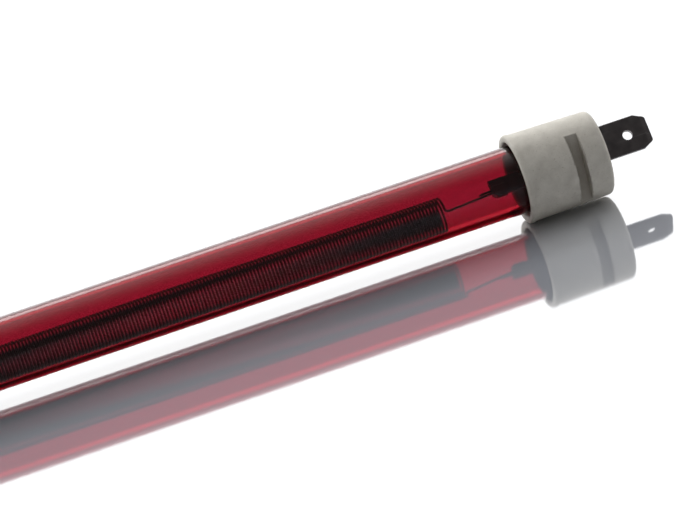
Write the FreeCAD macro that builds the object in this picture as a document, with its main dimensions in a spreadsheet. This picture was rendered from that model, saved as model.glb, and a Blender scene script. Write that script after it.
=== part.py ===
"""Ruby quartz infrared heat lamp for a food warmer: tube, coil, two ceramic caps, two blade terminals.

Frame: origin at the middle of the tube's axis, +X along the lamp, +Z up, the caps' bracket grooves
facing +Y and -Y.  Each terminal is rolled about the lamp's axis from the grooves' plane.  Both ends
carry the same cap and terminal, turned half a turn about Z.
"""
import FreeCAD, Part
import math
import os
import Sketcher
from FreeCAD import Placement, Rotation, Vector

# alias, value in millimetres (or a plain count, or degrees), what it is
DIMENSIONS = [
    ("tube_length", 240.0, "quartz tube, end to end"),
    ("tube_diameter", 12.0, "quartz tube, outside"),
    ("tube_wall", 1.0, "quartz tube wall"),
    ("tube_edge_round", 0.25, "fire-polished rounding of the tube's end edges"),
    ("tube_seat_clearance", 0.1, "radial gap between the tube's end and the socket at its floor"),
    ("tube_mouth_clearance", 0.6, "radial gap between the tube and the socket at its mouth"),
    ("cap_length", 15.5, "ceramic cap, mouth face to outer face"),
    ("cap_mouth_wall", 1.3, "cap wall at the mouth"),
    ("cap_draft", 0.9, "diameter lost from the mouth to the outer face, as moulding draft"),
    ("cap_lip_width", 0.9, "width of the raised lip at the mouth"),
    ("cap_lip_rise", 0.12, "how far the lip stands above the cap's side"),
    ("cap_lip_round", 0.5, "rounding of the mouth's two edges"),
    ("cap_end_round", 0.8, "rounding of the outer face's edge"),
    ("cap_bore_depth", 7.5, "depth of the socket that takes the tube"),
    ("groove_wall", 1.6, "ceramic between the socket's floor and the bracket groove"),
    ("groove_width", 2.1, "bracket groove along the lamp"),
    ("groove_floor_height", 4.6, "lamp axis to the flat groove floor"),
    ("terminal_roll", 34.0, "degrees between the terminal's plane and the groove floors"),
    ("blade_width", 6.3, "push-on tab, standard width"),
    ("blade_thickness", 0.8, "push-on tab, standard stock"),
    ("blade_projection", 9.6, "tab beyond the cap's outer face"),
    ("blade_seat_depth", 3.0, "tab's root sunk in the cap's outer face"),
    ("blade_offset", 1.1, "tab's centre line to the lamp axis, across the tab"),
    ("blade_tip_width", 4.4, "tab's width at its tip"),
    ("blade_tip_length", 1.9, "length of the tapered tip"),
    ("blade_corner_round", 0.5, "rounding of the tip's four corners"),
    ("blade_edge_bevel", 0.12, "coined bevel along the tab's edges"),
    ("tip_bevel_length", 0.9, "lead-in bevel of the tip, along the tab"),
    ("tip_bevel_depth", 0.22, "lead-in bevel of the tip, into each face"),
    ("blade_hole_diameter", 1.75, "detent hole in the tab"),
    ("blade_hole_to_tip", 3.95, "detent hole centre to the tip"),
    ("slot_clearance", 0.1, "gap each side of the terminal in its slot"),
    ("tail_width", 2.95, "terminal's strip inside the lamp"),
    ("tail_inset", 0.375, "strip's lower edge above the tab's lower edge"),
    ("tail_reach", 4.75, "strip's inner end beyond the cap's mouth, inside the tube"),
    ("stake_spread", 0.4, "staked ears beyond the strip's edges, behind the cap's wall"),
    ("stake_length", 0.7, "staked ears along the strip"),
    ("crimp_length", 2.5, "folded crimp wing along the strip"),
    ("crimp_wing_thickness", 0.4, "crimp wing after pressing"),
    ("crimp_wing_height", 1.95, "crimp wing's free edge above the strip's lower edge"),
    ("crimp_bend_round", 0.36, "outer rounding where the wing folds over"),
    ("crimp_corner_cut", 0.7, "clipped lower corner of the crimp"),
    ("crimp_wire_height", 0.8, "doubled wire above the strip's lower edge"),
    ("wire_diameter", 0.4, "resistance wire"),
    ("coil_diameter", 6.4, "heating coil, outside"),
    ("coil_pitch", 0.605, "coil advance in each turn"),
    ("lead_span", 9.0, "least run of straight lead between coil and crimp"),
    ("coil_end_angle", 56.0, "degrees from the coil's top to where the lead leaves it"),
    ("lead_drop", 0.35, "sag of the lead's first stretch"),
    ("fold_reach", 2.3, "doubled wire outside the crimp"),
    ("fold_gap", 0.04, "gap between the two strands of the doubled wire"),
    ("fold_lean", 0.35, "sideways lean of the doubled wire outside the crimp"),
]

# alias, expression over the dimensions above, what it is
DERIVED = [
    ("tail_offset", "blade_offset - blade_width / 2 + tail_inset + tail_width / 2",
     "strip's centre line to the lamp axis, across the strip"),
]

XY, XZ, YZ = "XY_Plane", "XZ_Plane", "YZ_Plane"
SKETCH_ORIGIN = -1
ALONG_SKETCH_X = -1
ALONG_SKETCH_Y = -2
TOUCH = 1e-4
VOLUME_TOLERANCE = 0.01
SAG_SHARE = 0.25

document = FreeCAD.newDocument("HeatLamp")
sheet = document.addObject("Spreadsheet::Sheet", "Sizes")
rows = [(alias, str(number), meaning) for alias, number, meaning in DIMENSIONS]
rows += [(alias, "=" + expression, meaning) for alias, expression, meaning in DERIVED]
for row, (alias, content, meaning) in enumerate(rows, start=1):
    sheet.set(f"A{row}", alias)
    sheet.set(f"B{row}", content)
    sheet.set(f"C{row}", meaning)
    sheet.setAlias(f"B{row}", alias)
document.recompute()


def size(alias):
    """Read one driving dimension from the sheet."""
    return float(sheet.get(alias))


def new_body(label):
    body = document.addObject("PartDesign::Body", label)
    body.Label = label
    return body


def new_sketch(body, name, plane_role, offset=None, turn=None):
    """A sketch on one of the body's own origin planes, shifted along and turned about its normal."""
    plane = next(item for item in body.Origin.OriginFeatures if item.Role == plane_role)
    sketch = body.newObject("Sketcher::SketchObject", name)
    sketch.AttachmentSupport = [(plane, "")]
    sketch.MapMode = "FlatFace"
    if offset:
        sketch.setExpression("AttachmentOffset.Base.z", offset)
    if turn:
        sketch.AttachmentOffset = Placement(Vector(), Rotation(Vector(0, 0, 1), 1))
        sketch.setExpression("AttachmentOffset.Rotation.Angle", turn)
    return sketch


def pin_point(sketch, geometry, point, corner):
    """Hold one point of a sketch at the two expressions of its corner."""
    directions = (("DistanceX", ALONG_SKETCH_Y), ("DistanceY", ALONG_SKETCH_X))
    for (direction, axis), text in zip(directions, corner):
        if text == "0":
            sketch.addConstraint(Sketcher.Constraint("PointOnObject", geometry, point, axis))
            continue
        distance = sketch.evalExpression(text)
        constraint = Sketcher.Constraint(direction, SKETCH_ORIGIN, 1, geometry, point, distance)
        index = sketch.addConstraint(constraint)
        sketch.setExpression(f"Constraints[{index}]", text)


def draw_outline(sketch, corners):
    """A closed loop of straight lines whose corners are pairs of expressions."""
    places = [Vector(*(sketch.evalExpression(text) for text in corner), 0) for corner in corners]
    first = sketch.GeometryCount
    count = len(corners)
    for number in range(count):
        sketch.addGeometry(Part.LineSegment(places[number], places[(number + 1) % count]))
    for number, corner in enumerate(corners):
        following = first + (number + 1) % count
        sketch.addConstraint(Sketcher.Constraint("Coincident", first + number, 2, following, 1))
        pin_point(sketch, first + number, 1, corner)


def draw_rectangle(sketch, low, high):
    """A rectangle between two opposite corners, each a pair of expressions."""
    draw_outline(sketch, [low, (high[0], low[1]), high, (low[0], high[1])])


def draw_circle(sketch, centre, radius):
    place = Vector(*(sketch.evalExpression(text) for text in centre), 0)
    circle = sketch.addGeometry(Part.Circle(place, Vector(0, 0, 1), sketch.evalExpression(radius)))
    pin_point(sketch, circle, 3, centre)
    index = sketch.addConstraint(Sketcher.Constraint("Radius", circle, sketch.evalExpression(radius)))
    sketch.setExpression(f"Constraints[{index}]", radius)


def pad(body, name, sketch, length, symmetric=False):
    feature = body.newObject("PartDesign::Pad", name)
    feature.Profile = sketch
    feature.setExpression("Length", length)
    if symmetric:
        feature.SideType = "Symmetric"
    return feature


def cut(body, name, sketch, depth=None, reverse=False):
    """A pocket of one depth, or right through both ways; it must take material away."""
    document.recompute()
    before = body.Shape.Volume
    feature = body.newObject("PartDesign::Pocket", name)
    feature.Profile = sketch
    feature.Reversed = reverse
    if depth:
        feature.setExpression("Length", depth)
    else:
        feature.SideType = "Symmetric"
        feature.Type = "ThroughAll"
    document.recompute()
    if not body.Shape.Volume < before:
        raise RuntimeError(f"{name} cut nothing from {body.Label}")
    return feature


def dress_edges(body, kind, name, base, radius, wanted):
    """Round (Fillet) or bevel (Chamfer) every edge of the base feature that is wanted."""
    document.recompute()
    edges = [f"Edge{number}" for number, edge in enumerate(base.Shape.Edges, start=1) if wanted(edge)]
    if not edges:
        raise RuntimeError(f"{name} found no edge on {body.Label}")
    feature = body.newObject(f"PartDesign::{kind}", name)
    feature.Base = (base, edges)
    feature.setExpression("Radius" if kind == "Fillet" else "Size", radius)
    return feature


def is_ring(edge, along, radius):
    """True for a full circle about the lamp axis at one place along it."""
    curve = edge.Curve
    if curve.TypeId != "Part::GeomCircle":
        return False
    return abs(curve.Center.x - along) < TOUCH and abs(curve.Radius - radius) < TOUCH


def make_tube():
    body = new_body("quartz_tube")
    sketch = new_sketch(body, "TubeSection", YZ)
    draw_circle(sketch, ("0", "0"), "Sizes.tube_diameter / 2")
    draw_circle(sketch, ("0", "0"), "Sizes.tube_diameter / 2 - Sizes.tube_wall")
    tube = pad(body, "Tube", sketch, "Sizes.tube_length", symmetric=True)
    dress_edges(body, "Fillet", "FirePolish", tube, "Sizes.tube_edge_round",
                lambda edge: edge.Curve.TypeId == "Part::GeomCircle")
    return body


def end_placement(body, side, along, roll=0):
    """Put a sub-part at one end of the lamp: side 1 is +X, side -1 the same turned about Z."""
    end_turn = Rotation(Vector(0, 0, 1), 0 if side > 0 else 180)
    body.Placement = Placement(Vector(), end_turn * Rotation(Vector(1, 0, 0), roll))
    body.setExpression("Placement.Base.x", f"{side} * ({along})")


def make_cap(label, side):
    """Ceramic cap: local x runs from the mouth face to the outer face."""
    body = new_body(label)
    profile = new_sketch(body, label + "_profile", XY)
    bore_mouth_radius = "Sizes.tube_diameter / 2 + Sizes.tube_mouth_clearance"
    lip_radius = bore_mouth_radius + " + Sizes.cap_mouth_wall"
    side_radius = lip_radius + " - Sizes.cap_lip_rise"
    end_radius = lip_radius + " - Sizes.cap_draft / 2"
    bore_floor_radius = "Sizes.tube_diameter / 2 + Sizes.tube_seat_clearance"
    draw_outline(profile, [
        ("0", bore_mouth_radius),
        ("0", lip_radius),
        ("Sizes.cap_lip_width", lip_radius),
        ("Sizes.cap_lip_width", side_radius),
        ("Sizes.cap_length", end_radius),
        ("Sizes.cap_length", "0"),
        ("Sizes.cap_bore_depth", "0"),
        ("Sizes.cap_bore_depth", bore_floor_radius),
    ])
    blank = body.newObject("PartDesign::Revolution", label + "_blank")
    blank.Profile = profile
    blank.ReferenceAxis = (profile, ["H_Axis"])
    document.recompute()

    bore_mouth, lip, end = (profile.evalExpression(text)
                            for text in (bore_mouth_radius, lip_radius, end_radius))
    mouth_rings = [(0, bore_mouth), (0, lip)]
    mouth = dress_edges(body, "Fillet", label + "_mouth_round", blank, "Sizes.cap_lip_round",
                        lambda edge: any(is_ring(edge, *ring) for ring in mouth_rings))
    lip_back = dress_edges(body, "Fillet", label + "_lip_back", mouth, "Sizes.cap_lip_rise / 2",
                           lambda edge: is_ring(edge, size("cap_lip_width"), lip))
    dress_edges(body, "Fillet", label + "_end_round", lip_back, "Sizes.cap_end_round",
                lambda edge: is_ring(edge, size("cap_length"), end))

    grooves = new_sketch(body, label + "_groove_plan", XY)
    groove_start = "Sizes.cap_bore_depth + Sizes.groove_wall"
    for sign in ("", "-"):
        draw_rectangle(grooves, (groove_start, sign + "Sizes.groove_floor_height"),
                       (groove_start + " + Sizes.groove_width", f"{sign}({lip_radius})"))
    cut(body, label + "_grooves", grooves)

    half_stock = "(Sizes.blade_thickness / 2 + Sizes.slot_clearance)"
    seat = new_sketch(body, label + "_seat_plan", YZ, "Sizes.cap_length", "-Sizes.terminal_roll")
    seat_half = "(Sizes.blade_width / 2 + Sizes.slot_clearance)"
    draw_rectangle(seat, ("-" + half_stock, "Sizes.blade_offset - " + seat_half),
                   (half_stock, "Sizes.blade_offset + " + seat_half))
    cut(body, label + "_blade_seat", seat, "Sizes.blade_seat_depth")

    slot = new_sketch(body, label + "_slot_plan", YZ, "Sizes.cap_bore_depth", "-Sizes.terminal_roll")
    slot_half = "(Sizes.tail_width / 2 + Sizes.slot_clearance)"
    draw_rectangle(slot, ("-" + half_stock, "Sizes.tail_offset - " + slot_half),
                   (half_stock, "Sizes.tail_offset + " + slot_half))
    cut(body, label + "_tail_slot", slot, "Sizes.cap_length - Sizes.cap_bore_depth", reverse=True)
    end_placement(body, side, "Sizes.tube_length / 2 - Sizes.cap_bore_depth")
    return body


def make_terminal(label, side):
    """Stamped terminal: local x = 0 at the tab's shoulder, + towards the tip."""
    body = new_body(label)
    plate = new_sketch(body, label + "_blank_plan", XZ)
    tip = "Sizes.blade_seat_depth + Sizes.blade_projection"
    tail_end = "-(Sizes.cap_length - Sizes.blade_seat_depth + Sizes.tail_reach)"
    wall = "(Sizes.cap_length - Sizes.blade_seat_depth - Sizes.cap_bore_depth)"
    ear_end = f"-({wall} + Sizes.stake_length)"

    def long_side(sign):
        """The blank's corners along one long side, from the crimp end to the tip."""
        strip = f"Sizes.tail_offset {sign} Sizes.tail_width / 2"
        ear = f"{strip} {sign} Sizes.stake_spread"
        tab = f"Sizes.blade_offset {sign} Sizes.blade_width / 2"
        return [
            (tail_end, strip),
            (ear_end, strip),
            (ear_end, ear),
            ("-" + wall, ear),
            ("-" + wall, strip),
            ("0", strip),
            ("0", tab),
            (tip + " - Sizes.blade_tip_length", tab),
            (tip, f"Sizes.blade_offset {sign} Sizes.blade_tip_width / 2"),
        ]

    draw_outline(plate, long_side("+") + long_side("-")[::-1])
    blank = pad(body, label + "_blank", plate, "Sizes.blade_thickness", symmetric=True)
    taper_start = plate.evalExpression(tip + " - Sizes.blade_tip_length")

    def on_tip_corner(edge):
        box = edge.BoundBox
        return box.XMin > taper_start - TOUCH and box.XLength < TOUCH and box.ZLength < TOUCH

    rounded = dress_edges(body, "Fillet", label + "_corners", blank, "Sizes.blade_corner_round",
                          on_tip_corner)
    half_stock = size("blade_thickness") / 2

    def on_tab_rim(edge):
        box = edge.BoundBox
        flat = box.YLength < TOUCH and abs(abs(box.YMin) - half_stock) < TOUCH
        return flat and box.XMin > -TOUCH and box.XMax > TOUCH

    dress_edges(body, "Chamfer", label + "_bevel", rounded, "Sizes.blade_edge_bevel", on_tab_rim)

    lead_in = new_sketch(body, label + "_lead_in_plan", XY)
    for sign in ("", "-"):
        face = sign + "Sizes.blade_thickness"
        draw_outline(lead_in, [
            (tip + " - Sizes.tip_bevel_length", face + " / 2"),
            (tip, f"{face} / 2 - {sign}1 * Sizes.tip_bevel_depth"),
            (tip, face),
            (tip + " - Sizes.tip_bevel_length", face),
        ])
    cut(body, label + "_lead_in", lead_in)

    hole = new_sketch(body, label + "_hole_plan", XZ)
    hole_place = (tip + " - Sizes.blade_hole_to_tip", "Sizes.blade_offset")
    draw_circle(hole, hole_place, "Sizes.blade_hole_diameter / 2")
    cut(body, label + "_hole", hole)

    wing = new_sketch(body, label + "_wing_section", YZ, tail_end)
    back = "Sizes.blade_thickness / 2"
    inner_face = "-(Sizes.blade_thickness / 2 + Sizes.wire_diameter)"
    outer_face = "-(Sizes.blade_thickness / 2 + Sizes.wire_diameter + Sizes.crimp_wing_thickness)"
    strip_edge = "Sizes.tail_offset - Sizes.tail_width / 2"
    wing_top = strip_edge + " + Sizes.crimp_wing_height"
    fold_bottom = strip_edge + " - Sizes.crimp_wing_thickness"
    draw_outline(wing, [
        (back, strip_edge),
        (back, fold_bottom),
        (outer_face, fold_bottom),
        (outer_face, wing_top),
        (inner_face, wing_top),
        (inner_face, strip_edge),
    ])
    fold = pad(body, label + "_wing", wing, "Sizes.crimp_length")

    fold_depth = wing.evalExpression(fold_bottom)

    def on_fold_corner(edge):
        box = edge.BoundBox
        low = abs(box.ZMax - fold_depth) < TOUCH
        return low and box.YLength < TOUCH and abs(box.XLength - size("crimp_length")) < TOUCH

    dress_edges(body, "Fillet", label + "_wing_bend", fold, "Sizes.crimp_bend_round",
                on_fold_corner)

    corner = new_sketch(body, label + "_corner_plan", XZ)
    draw_outline(corner, [
        (tail_end, fold_bottom),
        (tail_end + " + Sizes.crimp_corner_cut", fold_bottom),
        (tail_end, fold_bottom + " + Sizes.crimp_corner_cut"),
    ])
    cut(body, label + "_corner", corner)
    seat_place = "Sizes.tube_length / 2 - Sizes.cap_bore_depth + Sizes.cap_length - Sizes.blade_seat_depth"
    end_placement(body, side, seat_place, roll=-size("terminal_roll"))
    return body


def lead_edges(coil_end, coil_tangent):
    """The +X lead: from the coil to the crimp, folded back in it, and out again."""
    wire = size("wire_diameter")
    crimp_start = size("tube_length") / 2 - size("cap_bore_depth") - size("tail_reach")
    half_fold = (wire + size("fold_gap")) / 2
    wire_height = size("tail_offset") - size("tail_width") / 2 + size("crimp_wire_height")
    fold_start = crimp_start + size("crimp_length") - wire / 2 - half_fold
    roll = Rotation(Vector(1, 0, 0), -size("terminal_roll"))

    def on_strip(along, height):
        """A point of the wire that lies on the strip's near face."""
        return roll.multVec(Vector(along, -(size("blade_thickness") + wire) / 2, height))

    entry = on_strip(crimp_start, wire_height - half_fold)
    lean = Vector(-size("fold_reach"), -size("fold_lean"), 0)
    stride = SAG_SHARE * (entry.x - coil_end.x)
    sag = Vector(coil_end.x + stride, coil_end.y, coil_end.z - size("lead_drop"))
    midway = (sag + entry + lean) / 2
    lead = Part.BSplineCurve()
    lead.interpolate(Points=[coil_end, sag, midway, entry + lean, entry],
                     InitialTangent=coil_tangent * stride, FinalTangent=Vector(stride, 0, 0))
    fold_in = on_strip(fold_start, wire_height - half_fold)
    fold_middle = on_strip(fold_start + half_fold, wire_height)
    fold_out = on_strip(fold_start, wire_height + half_fold)
    back_exit = on_strip(crimp_start, wire_height + half_fold)
    stub = Part.BSplineCurve()
    stub.interpolate(Points=[back_exit, back_exit + lean],
                     InitialTangent=Vector(-size("fold_reach"), 0, 0), FinalTangent=lean)
    return [
        lead.toShape(),
        Part.makeLine(entry, fold_in),
        Part.Arc(fold_in, fold_middle, fold_out).toShape(),
        Part.makeLine(fold_out, back_exit),
        stub.toShape(),
    ]


def make_coil():
    """One wire: a right-hand coil lying in the bottom of the tube, and a lead at each end."""
    coil = document.addObject("Part::Feature", "heating_coil")
    coil.Label = "heating_coil"
    radius = (size("coil_diameter") - size("wire_diameter")) / 2
    pitch = size("coil_pitch")
    end_turn = size("coil_end_angle") / 360
    crimp_start = size("tube_length") / 2 - size("cap_bore_depth") - size("tail_reach")
    half_turns = int((crimp_start - size("lead_span")) / pitch - end_turn) + end_turn
    drop = size("tube_diameter") / 2 - size("tube_wall") - size("coil_diameter") / 2

    helix = Part.makeLongHelix(pitch, 2 * half_turns * pitch, radius, 0)
    # The helix starts on its local x axis and climbs z: turn z to the lamp's X axis, with the
    # middle of the wire at the top of the coil.
    helix.Placement = (Placement(Vector(-half_turns * pitch, 0, -drop), Rotation())
                       * Placement(Vector(), Rotation(Vector(1, 0, 0), 90 - 360 * half_turns))
                       * Placement(Vector(), Rotation(Vector(0, 1, 0), Vector(0, 0, 1), Vector(1, 0, 0))))
    turns = helix.Edges
    last = turns[-1]
    leads = lead_edges(last.valueAt(last.LastParameter), last.tangentAt(last.LastParameter))
    half_turn = Placement(Vector(), Rotation(Vector(0, 0, 1), 180)).toMatrix()
    far_leads = [edge.transformGeometry(half_turn) for edge in leads]
    route = Part.Wire(Part.__sortEdges__(list(reversed(far_leads)) + turns + leads))

    stub = leads[-1]
    end = stub.valueAt(stub.LastParameter)
    section = Part.Wire([Part.makeCircle(size("wire_diameter") / 2, end, stub.tangentAt(stub.LastParameter))])
    coil.Shape = route.makePipeShell([section], True, True)
    expected = route.Length * math.pi * (size("wire_diameter") / 2) ** 2
    if abs(coil.Shape.Volume / expected - 1) > VOLUME_TOLERANCE:
        raise RuntimeError("the wire's volume is not its section times its length")
    return coil


pieces = [
    make_tube(),
    make_coil(),
    make_cap("end_cap_right", 1),
    make_cap("end_cap_left", -1),
    make_terminal("terminal_right", 1),
    make_terminal("terminal_left", -1),
]
document.recompute()

for item in document.Objects:
    if "Invalid" in item.State or "Error" in item.State:
        raise RuntimeError(f"{item.Label} failed to recompute: {item.State}")

os.makedirs("parts", exist_ok=True)
for piece in pieces:
    shape = piece.Shape
    if shape.isNull() or not shape.isValid() or len(shape.Solids) != 1:
        raise RuntimeError(f"{piece.Label} is not one valid solid")
    shape.exportStep(f"parts/{piece.Label}.step")
    print(piece.Label, round(shape.Volume, 2), "mm3")
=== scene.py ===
"""Studio scene of the ruby quartz heat lamp: glass tube, coil, ceramic caps and blade terminals.

Everything is in metres in the part's own frame: +X along the lamp, +Z up.  The tube and the coil
get lighter, smoother meshes than the CAD nodes they stand for; caps and terminals are the CAD nodes.
"""
import math

import bpy
from mathutils import Matrix, Vector


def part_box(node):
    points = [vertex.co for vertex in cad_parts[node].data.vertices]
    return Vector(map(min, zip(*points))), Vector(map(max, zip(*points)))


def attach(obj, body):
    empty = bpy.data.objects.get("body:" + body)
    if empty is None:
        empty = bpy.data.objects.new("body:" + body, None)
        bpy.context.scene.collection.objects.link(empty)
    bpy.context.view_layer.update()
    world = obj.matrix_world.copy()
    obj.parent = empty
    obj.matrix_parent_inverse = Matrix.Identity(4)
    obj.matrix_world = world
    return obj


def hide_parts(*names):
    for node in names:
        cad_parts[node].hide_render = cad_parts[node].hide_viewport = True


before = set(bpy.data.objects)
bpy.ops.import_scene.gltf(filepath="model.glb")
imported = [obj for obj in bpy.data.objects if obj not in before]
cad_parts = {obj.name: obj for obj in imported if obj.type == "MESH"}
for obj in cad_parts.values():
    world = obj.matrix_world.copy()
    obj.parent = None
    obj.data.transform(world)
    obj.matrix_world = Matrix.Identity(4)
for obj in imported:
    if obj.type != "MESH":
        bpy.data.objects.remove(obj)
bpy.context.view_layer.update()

MM = 0.001
NOISE_ROUGHNESS = 0.55
AXIS_X, AXIS_Z = Vector((1, 0, 0)), Vector((0, 0, 1))

# Glass tube
TUBE_WALL = 1.0 * MM
TUBE_END_ROUND = 0.3 * MM
TUBE_SEGMENTS = 192
TUBE_RINGS = 120
ROUND_STEPS = 5

# Heating coil and its leads, wound as in the CAD
WIRE_RADIUS = 0.2 * MM
COIL_RADIUS = 3.0 * MM
COIL_AXIS_Z = -1.8 * MM
COIL_PITCH = 0.605 * MM
COIL_END_TURN = 56 / 360
COIL_WHOLE_TURNS = 163
STEPS_PER_TURN = 28
WIRE_SIDES = 8
SAG_SHARE = 0.25
LEAD_SAG = 0.35 * MM
STRIP_ROLL = math.radians(34)
STRIP_FACE = 0.6 * MM
STRIP_START = 107.75 * MM
CRIMP_LENGTH = 2.5 * MM
FOLD_HEIGHT = -0.875 * MM
FOLD_HALF_GAP = 0.22 * MM
FOLD_REACH = 2.3 * MM
FOLD_LEAN = 0.35 * MM
LEAD_STEPS = 24
FOLD_STEPS = 12

# Bracket grooves in the caps, and the painted shade inside them
GROOVE_MIDDLE = 122.65 * MM
GROOVE_HALF_WIDTH = 1.15 * MM
GROOVE_FLOOR = 4.5 * MM
GROOVE_OPENING = 7.45 * MM
# Painted shade: how far the grooves' floor and walls are darkened toward a brown
GROOVE_SHADE_STRENGTH = 0.3
GROOVE_SHADE_BROWN = (0.12, 0.09, 0.062, 1.0)
WAVER_SCALE, WAVER_DETAIL = 1500.0, 3.0
WAVER_REACH = 0.5 * MM
WAVER_INSET = 0.2 * MM

# Unglazed ceramic
CERAMIC_DARK, CERAMIC_LIGHT = (0.60, 0.565, 0.50), (0.75, 0.715, 0.64)
CERAMIC_SPECK = (0.38, 0.32, 0.24, 1.0)
CERAMIC_ROUGHNESS, CERAMIC_IOR, CERAMIC_SPECULAR = 0.62, 1.5, 0.35
MOTTLE_SCALE, MOTTLE_DETAIL, MOTTLE_ROUGHNESS = 420.0, 6.0, 0.6
MOTTLE_FROM, MOTTLE_TO = 0.3, 0.7
SPECK_SCALE, SPECK_DETAIL = 5200.0, 2.0
SPECK_FROM, SPECK_TO = 0.66, 0.74
GRAIN_SCALE, GRAIN_DETAIL, GRAIN_ROUGHNESS = 3800.0, 6.0, 0.65
GRAIN_HEIGHT, GRAIN_STRENGTH = 0.05 * MM, 0.6

# Ruby glass
RUBY_TINT = (0.765, 0.0, 0.33, 1.0)
RUBY_DENSITY = 3107.0
QUARTZ_IOR = 1.46
SURFACE_TINT = (1.0, 0.97, 0.97, 1.0)
CLEAN_GLOSS, SMUDGED_GLOSS = 0.015, 0.05
SMUDGE_SCALE, SMUDGE_DETAIL = 180.0, 6.0
SMUDGE_FROM, SMUDGE_TO = 0.45, 0.75
DRAW_LINE_STRETCH = (1.5, 700, 700)
DRAW_LINE_DETAIL = 2.0
DRAW_LINE_HEIGHT, DRAW_LINE_STRENGTH = 0.01 * MM, 0.12

# Oxidised wire
WIRE_DARK, WIRE_LIGHT = (0.018, 0.015, 0.018), (0.05, 0.043, 0.044)
WIRE_ROUGHNESS = 0.45
PATCH_SCALE, PATCH_DETAIL = 900.0, 5.0
PATCH_FROM, PATCH_TO = 0.35, 0.7
OXIDE_SCALE, OXIDE_DETAIL = 9000.0, 3.0
OXIDE_HEIGHT, OXIDE_STRENGTH = 0.01 * MM, 0.5

# Scaled terminal steel
STEEL_DARK, STEEL_LIGHT = (0.085, 0.076, 0.078), (0.125, 0.112, 0.110)
STEEL_METALLIC = 0.9
STEEL_SMOOTH, STEEL_ROUGH = 0.34, 0.52
SMOOTH_FROM, ROUGH_TO = 0.2, 0.8
CLOUD_SCALE, CLOUD_DETAIL = 700.0, 5.0
CLOUD_FROM, CLOUD_TO = 0.3, 0.75
SCRATCH_STRETCH = (60, 2600, 2600)
SCRATCH_DETAIL = 6.0
SCRATCH_FROM, SCRATCH_TO, SCRATCH_SHOW = 0.62, 0.72, 0.5
SCRATCH_COLOUR = (0.22, 0.22, 0.22, 1.0)
SCRATCH_HEIGHT, SCRATCH_STRENGTH = 0.02 * MM, 0.35

# Camera
CAMERA_AZIMUTH = math.radians(10.9)
CAMERA_ELEVATION = math.radians(18.0)
CAMERA_ROLL = math.radians(-15.3)
CAMERA_DISTANCE = 1.05
CAMERA_TARGET = Vector((0.081, 0, -0.0045))
CAMERA_LENS = 317.5
SENSOR_WIDTH = 36.0
NEAREST, FARTHEST = 0.1, 50.0

# Table and light
TABLE_HALF = 8.0
TABLE_COLOUR = (0.55, 0.58, 0.64, 1.0)
TABLE_GLOSS_COLOUR = (0.97, 0.97, 0.97, 1.0)
TABLE_GLOSS = 0.62
TABLE_ROUGHNESS = 0.05
FRONT_LIGHT, REAR_LIGHT = 0.15, 1.5
FRONT_EDGE, REAR_EDGE = -0.55, 0.6
SOFTBOX_PLACE = Vector((0.08, 0.95, 0.75))
SOFTBOX_TARGET = Vector((0.08, 0.0, 0.0))
SOFTBOX_WIDTH, SOFTBOX_HEIGHT = 1.6, 0.32
SOFTBOX_POWER = 5.0


class Shade:
    """A material being built around one Principled shader."""

    def __init__(self, name):
        self.material = bpy.data.materials.new(name)
        self.material.use_nodes = True
        self.tree = self.material.node_tree
        self.shader = self.tree.nodes["Principled BSDF"]
        self.output = self.tree.nodes["Material Output"]
        self.where = self.node("TexCoord").outputs["Object"]

    def feed(self, socket, value):
        """Set a socket to a plain value, or link another node's output to it."""
        if isinstance(value, bpy.types.NodeSocket):
            self.tree.links.new(value, socket)
        else:
            socket.default_value = value

    def node(self, kind, settings=None, **inputs):
        made = self.tree.nodes.new("ShaderNode" + kind)
        for name, value in (settings or {}).items():
            setattr(made, name, value)
        for name, value in inputs.items():
            self.feed(made.inputs[name.replace("_", " ")], value)
        return made

    def set(self, **inputs):
        """Set the Principled shader's own sockets."""
        for name, value in inputs.items():
            self.feed(self.shader.inputs[name.replace("_", " ")], value)

    def noise(self, scale, detail, stretch=None, roughness=NOISE_ROUGHNESS):
        """Noise over the part's own metres; a stretch gives it one scale for each axis."""
        where = self.where
        if stretch:
            where = self.node("Mapping", Vector=where, Scale=stretch).outputs["Vector"]
        made = self.node("TexNoise", Vector=where, Scale=scale, Detail=detail, Roughness=roughness)
        return made.outputs["Fac"]

    def ramp(self, factor, low, high):
        """Blend between two (position, colour) stops."""
        made = self.node("ValToRGB", Fac=factor)
        for element, (position, colour) in zip(made.color_ramp.elements, (low, high)):
            element.position = position
            element.color = (*colour, 1.0)
        return made.outputs["Color"]

    def mix(self, factor, first, second):
        """Blend between two colours, each a plain value or another node's output."""
        made = self.node("Mix", {"data_type": "RGBA"})
        for socket, value in ((made.inputs[0], factor), (made.inputs[6], first), (made.inputs[7], second)):
            self.feed(socket, value)
        return made.outputs[2]

    def math(self, operation, *values):
        made = self.node("Math", {"operation": operation})
        for socket, value in zip(made.inputs, values):
            self.feed(socket, value)
        return made.outputs[0]

    def distance_along(self, letter):
        """How far a point is from the part's middle along one axis."""
        return self.math("ABSOLUTE", self.node("SeparateXYZ", Vector=self.where).outputs[letter])

    def bump(self, height, distance, strength):
        made = self.node("Bump", Height=height, Distance=distance, Strength=strength)
        self.set(Normal=made.outputs["Normal"])


def grey(value):
    return (value, value, value)


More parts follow.
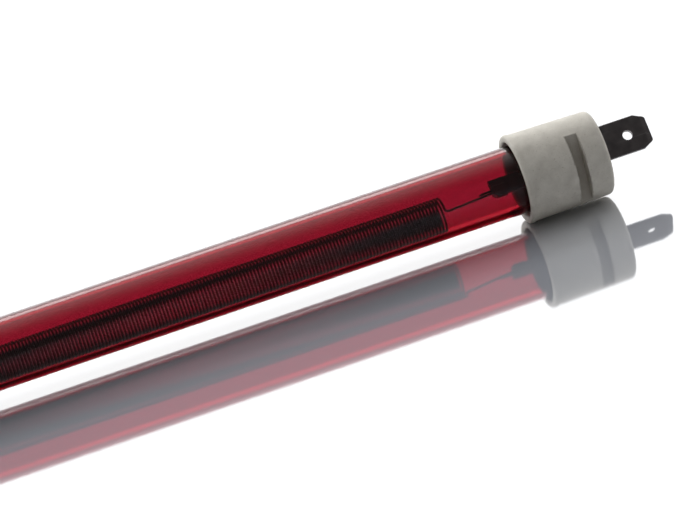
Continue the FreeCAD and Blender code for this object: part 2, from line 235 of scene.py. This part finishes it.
def ruby_quartz():
    """Clear ruby glass, tinted by its depth, with faint draw lines and handling marks."""
    shade = Shade("ruby_quartz")
    smudges = shade.noise(SMUDGE_SCALE, SMUDGE_DETAIL)
    roughness = shade.ramp(smudges, (SMUDGE_FROM, grey(CLEAN_GLOSS)), (SMUDGE_TO, grey(SMUDGED_GLOSS)))
    shade.set(Base_Color=SURFACE_TINT, Roughness=roughness, IOR=QUARTZ_IOR, Transmission_Weight=1.0)
    draw_lines = shade.noise(1.0, DRAW_LINE_DETAIL, stretch=DRAW_LINE_STRETCH)
    shade.bump(draw_lines, DRAW_LINE_HEIGHT, DRAW_LINE_STRENGTH)
    tint = shade.node("VolumeAbsorption", Color=RUBY_TINT, Density=RUBY_DENSITY)
    shade.feed(shade.output.inputs["Volume"], tint.outputs["Volume"])
    return shade.material


def resistance_wire():
    """Oxidised resistance wire, nearly black with greyer patches."""
    shade = Shade("resistance_wire")
    patches = shade.noise(PATCH_SCALE, PATCH_DETAIL)
    colour = shade.ramp(patches, (PATCH_FROM, WIRE_DARK), (PATCH_TO, WIRE_LIGHT))
    shade.set(Base_Color=colour, Metallic=1.0, Roughness=WIRE_ROUGHNESS)
    shade.bump(shade.noise(OXIDE_SCALE, OXIDE_DETAIL), OXIDE_HEIGHT, OXIDE_STRENGTH)
    return shade.material


def groove_shade_mask(shade):
    """Where the grooves' painted shade goes: 1 inside the bracket grooves with a wavering edge, 0 on the
    rest of the cap.
    """
    waver = shade.math("MULTIPLY", shade.noise(WAVER_SCALE, WAVER_DETAIL), WAVER_REACH)
    half_width = shade.math("ADD", waver, GROOVE_HALF_WIDTH - WAVER_INSET)
    along = shade.math("COMPARE", shade.distance_along("X"), GROOVE_MIDDLE, half_width)
    depth = shade.distance_along("Y")
    inside = shade.math("LESS_THAN", depth, GROOVE_OPENING)
    outside = shade.math("GREATER_THAN", depth, GROOVE_FLOOR)
    return shade.math("MULTIPLY", along, shade.math("MULTIPLY", inside, outside))


def steatite():
    """Unglazed off-white ceramic, mottled and speckled, with painted shade darkening it toward brown down
    in the bracket grooves.
    """
    shade = Shade("steatite")
    mottle = shade.noise(MOTTLE_SCALE, MOTTLE_DETAIL, roughness=MOTTLE_ROUGHNESS)
    body = shade.ramp(mottle, (MOTTLE_FROM, CERAMIC_DARK), (MOTTLE_TO, CERAMIC_LIGHT))
    dots = shade.noise(SPECK_SCALE, SPECK_DETAIL)
    specks = shade.ramp(dots, (SPECK_FROM, grey(0.0)), (SPECK_TO, grey(1.0)))
    speckled = shade.mix(specks, body, CERAMIC_SPECK)
    # Painted shade: the bracket grooves darkened toward brown, as shade in the recess
    painted_shade = shade.math("MULTIPLY", groove_shade_mask(shade), GROOVE_SHADE_STRENGTH)
    colour = shade.mix(painted_shade, speckled, GROOVE_SHADE_BROWN)
    shade.set(Base_Color=colour, Roughness=CERAMIC_ROUGHNESS, IOR=CERAMIC_IOR)
    shade.set(Specular_IOR_Level=CERAMIC_SPECULAR)
    grain = shade.noise(GRAIN_SCALE, GRAIN_DETAIL, roughness=GRAIN_ROUGHNESS)
    shade.bump(grain, GRAIN_HEIGHT, GRAIN_STRENGTH)
    return shade.material


def terminal_steel():
    """Dark scaled steel, scratched along the blade."""
    shade = Shade("terminal_steel")
    scratches = shade.noise(1.0, SCRATCH_DETAIL, stretch=SCRATCH_STRETCH)
    clouds = shade.noise(CLOUD_SCALE, CLOUD_DETAIL)
    tone = shade.ramp(clouds, (CLOUD_FROM, STEEL_DARK), (CLOUD_TO, STEEL_LIGHT))
    marks = shade.ramp(scratches, (SCRATCH_FROM, grey(0.0)), (SCRATCH_TO, grey(SCRATCH_SHOW)))
    colour = shade.mix(marks, tone, SCRATCH_COLOUR)
    roughness = shade.ramp(clouds, (SMOOTH_FROM, grey(STEEL_SMOOTH)), (ROUGH_TO, grey(STEEL_ROUGH)))
    shade.set(Base_Color=colour, Metallic=STEEL_METALLIC, Roughness=roughness)
    shade.bump(scratches, SCRATCH_HEIGHT, SCRATCH_STRENGTH)
    return shade.material


def mesh_object(name, vertices, faces, smooth=True):
    mesh = bpy.data.meshes.new(name)
    mesh.from_pydata(vertices, [], faces)
    mesh.polygons.foreach_set("use_smooth", [smooth] * len(mesh.polygons))
    mesh.update()
    piece = bpy.data.objects.new(name, mesh)
    bpy.context.scene.collection.objects.link(piece)
    return piece


def stand_in(piece, node, material):
    """Give a new piece its finish and let it stand for its CAD node."""
    piece.data.materials.append(material)
    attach(piece, "root")
    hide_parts(node)


def finish_node(name, material):
    """Give a CAD node its finish."""
    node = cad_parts[name]
    node.data.materials.clear()
    node.data.materials.append(material)


def ring_faces(first, second, count):
    """Quads between two rings of vertices that start at these indices."""
    return [(first + number, first + (number + 1) % count,
             second + (number + 1) % count, second + number) for number in range(count)]


def tube_profile(low_x, high_x, inner, outer):
    """The wall's closed outline as (along, radius) points, its four corners rounded."""
    reach = TUBE_END_ROUND
    outside = (low_x + reach, high_x - reach, outer - reach)
    inside = (high_x - reach, low_x + reach, inner + reach)
    profile = []
    for (start, end, radius), turn in ((outside, 180), (inside, 0)):
        for along, first_angle in ((start, turn), (end, turn - 90)):
            for step in range(ROUND_STEPS + 1):
                angle = math.radians(first_angle - 90 * step / ROUND_STEPS)
                profile.append((along + reach * math.cos(angle), radius + reach * math.sin(angle)))
            if along == start:
                level = profile[-1][1]
                stretch = (end - start) / TUBE_RINGS
                profile += [(start + stretch * ring, level) for ring in range(1, TUBE_RINGS)]
    return profile


def make_tube():
    """The glass tube as one closed wall, lathed, with fire-polished ends."""
    low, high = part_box("quartz_tube")
    profile = tube_profile(low.x, high.x, high.z - TUBE_WALL, high.z)
    angles = [2 * math.pi * number / TUBE_SEGMENTS for number in range(TUBE_SEGMENTS)]
    vertices = [(along, radius * math.cos(angle), radius * math.sin(angle))
                for along, radius in profile for angle in angles]
    faces = []
    for number in range(len(profile)):
        following = (number + 1) % len(profile)
        faces += ring_faces(number * TUBE_SEGMENTS, following * TUBE_SEGMENTS, TUBE_SEGMENTS)
    return mesh_object("ruby_glass_tube", vertices, faces)


def hermite(points, tangents, steps):
    """Smooth curve through the points with the given tangents."""
    made = []
    for start, end, leave, arrive in zip(points, points[1:], tangents, tangents[1:]):
        for step in range(steps):
            t = step / steps
            made.append(start * (2 * t**3 - 3 * t**2 + 1) + leave * (t**3 - 2 * t**2 + t)
                        + end * (3 * t**2 - 2 * t**3) + arrive * (t**3 - t**2))
    made.append(points[-1])
    return made


def on_strip(along, height):
    """A point of the wire lying on the terminal strip's near face."""
    return Matrix.Rotation(-STRIP_ROLL, 3, "X") @ Vector((along, -STRIP_FACE, height))


def lead_points(coil_end, coil_tangent):
    """The +X lead: from the coil to the crimp, folded back in it, and out again."""
    entry = on_strip(STRIP_START, FOLD_HEIGHT - FOLD_HALF_GAP)
    lean = Vector((-FOLD_REACH, -FOLD_LEAN, 0))
    stride = SAG_SHARE * (entry.x - coil_end.x)
    sag = Vector((coil_end.x + stride, coil_end.y, coil_end.z - LEAD_SAG))
    leaned = entry + lean
    stops = [coil_end, sag, (sag + leaned) / 2, leaned, entry]
    tangents = [(after - before) / 2 for before, after in zip(stops, stops[2:])]
    tangents = [coil_tangent * stride, *tangents, AXIS_X * FOLD_REACH]
    route = hermite(stops, tangents, LEAD_STEPS)
    fold_start = STRIP_START + CRIMP_LENGTH - WIRE_RADIUS - FOLD_HALF_GAP
    for step in range(FOLD_STEPS + 1):
        angle = math.pi * (step / FOLD_STEPS - 0.5)
        route.append(on_strip(fold_start + FOLD_HALF_GAP * math.cos(angle),
                              FOLD_HEIGHT + FOLD_HALF_GAP * math.sin(angle)))
    back_exit = on_strip(STRIP_START, FOLD_HEIGHT + FOLD_HALF_GAP)
    return route + hermite([back_exit, back_exit + lean], [-AXIS_X * FOLD_REACH, lean], FOLD_STEPS)


def coil_point(turn):
    """The wire's middle, so many turns from the middle of the lamp."""
    angle = math.pi / 2 + 2 * math.pi * turn
    return Vector((turn * COIL_PITCH, COIL_RADIUS * math.cos(angle),
                   COIL_AXIS_Z + COIL_RADIUS * math.sin(angle)))


def sweep(name, route, radius, sides):
    """A round wire along a route, with closed ends."""
    vertices, faces = [], []
    across = AXIS_Z.copy()
    neighbours = zip([route[0], *route[:-1]], route, [*route[1:], route[-1]])
    for number, (before, point, after) in enumerate(neighbours):
        along = (after - before).normalized()
        across = (across - along * across.dot(along)).normalized()
        beside = along.cross(across)
        for side in range(sides):
            angle = 2 * math.pi * side / sides
            vertices.append(point + radius * (across * math.cos(angle) + beside * math.sin(angle)))
        if number:
            faces += ring_faces((number - 1) * sides, number * sides, sides)
    last = len(vertices) - sides
    faces.append(tuple(range(sides)))
    faces.append(tuple(last + side for side in reversed(range(sides))))
    return mesh_object(name, vertices, faces)


def make_coil():
    """One wire swept along the coil and both leads."""
    half_turns = COIL_WHOLE_TURNS + COIL_END_TURN
    steps = round(2 * half_turns * STEPS_PER_TURN)
    turns = [coil_point(half_turns * (2 * step / steps - 1)) for step in range(steps + 1)]
    lead = lead_points(turns[-1], (turns[-1] - turns[-2]).normalized())
    half_turn = Matrix.Rotation(math.pi, 3, "Z")
    far_lead = [half_turn @ point for point in reversed(lead)]
    return sweep("heating_coil_wire", far_lead[:-1] + turns + lead[1:], WIRE_RADIUS, WIRE_SIDES)


def make_camera():
    """A long lens from the front right, rolled so that the lamp climbs to the right."""
    level = math.cos(CAMERA_ELEVATION)
    forward = Vector((math.sin(CAMERA_AZIMUTH) * level, math.cos(CAMERA_AZIMUTH) * level,
                      -math.sin(CAMERA_ELEVATION)))
    level_right = forward.cross(AXIS_Z).normalized()
    level_up = level_right.cross(forward)
    right = level_right * math.cos(CAMERA_ROLL) + level_up * math.sin(CAMERA_ROLL)
    up = level_up * math.cos(CAMERA_ROLL) - level_right * math.sin(CAMERA_ROLL)
    pose = Matrix((right, up, -forward)).transposed().to_4x4()
    pose.translation = CAMERA_TARGET - forward * CAMERA_DISTANCE
    data = bpy.data.cameras.new("camera")
    data.lens = CAMERA_LENS
    data.sensor_width = SENSOR_WIDTH
    data.clip_start, data.clip_end = NEAREST, FARTHEST
    camera = bpy.data.objects.new("camera", data)
    camera.matrix_world = pose
    bpy.context.scene.collection.objects.link(camera)
    bpy.context.scene.camera = camera


def make_table(level):
    """A wide glossy pale table at the caps' lowest point."""
    corners = [(-1, -1), (1, -1), (1, 1), (-1, 1)]
    places = [(TABLE_HALF * x, TABLE_HALF * y, level) for x, y in corners]
    table = mesh_object("table_top", places, [(0, 1, 2, 3)], smooth=False)
    shade = Shade("pale_acrylic")
    matt = shade.node("BsdfDiffuse", Color=TABLE_COLOUR)
    gloss = shade.node("BsdfGlossy", Color=TABLE_GLOSS_COLOUR, Roughness=TABLE_ROUGHNESS)
    both = shade.node("MixShader", Fac=TABLE_GLOSS)
    shade.feed(both.inputs[1], matt.outputs["BSDF"])
    shade.feed(both.inputs[2], gloss.outputs["BSDF"])
    shade.feed(shade.output.inputs["Surface"], both.outputs["Shader"])
    table.data.materials.append(shade.material)


def make_surroundings():
    """White surroundings, bright behind the lamp and dim in front of it."""
    world = bpy.data.worlds.new("studio")
    bpy.context.scene.world = world
    world.use_nodes = True
    tree = world.node_tree
    direction = tree.nodes.new("ShaderNodeTexCoord").outputs["Generated"]
    split = tree.nodes.new("ShaderNodeSeparateXYZ")
    strength = tree.nodes.new("ShaderNodeMapRange")
    strength.interpolation_type = "SMOOTHSTEP"
    limits = {"From Min": FRONT_EDGE, "From Max": REAR_EDGE, "To Min": FRONT_LIGHT, "To Max": REAR_LIGHT}
    for name, value in limits.items():
        strength.inputs[name].default_value = value
    background = tree.nodes["Background"]
    background.inputs["Color"].default_value = (1.0, 1.0, 1.0, 1.0)
    tree.links.new(direction, split.inputs["Vector"])
    tree.links.new(split.outputs["Y"], strength.inputs["Value"])
    tree.links.new(strength.outputs["Result"], background.inputs["Strength"])


def make_softbox():
    """One wide soft light high behind the lamp."""
    data = bpy.data.lights.new("rear_softbox", "AREA")
    data.shape = "RECTANGLE"
    data.size, data.size_y = SOFTBOX_WIDTH, SOFTBOX_HEIGHT
    data.energy = SOFTBOX_POWER
    light = bpy.data.objects.new("rear_softbox", data)
    light.location = SOFTBOX_PLACE
    light.rotation_euler = (SOFTBOX_TARGET - SOFTBOX_PLACE).to_track_quat("-Z", "Y").to_euler()
    bpy.context.scene.collection.objects.link(light)


ceramic, steel = steatite(), terminal_steel()
stand_in(make_tube(), "quartz_tube", ruby_quartz())
stand_in(make_coil(), "heating_coil", resistance_wire())
for side in ("right", "left"):
    finish_node("end_cap_" + side, ceramic)
    finish_node("terminal_" + side, steel)

make_camera()
make_table(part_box("end_cap_right")[0].z)
make_surroundings()
make_softbox()
bpy.context.scene.view_settings.view_transform = "Standard"
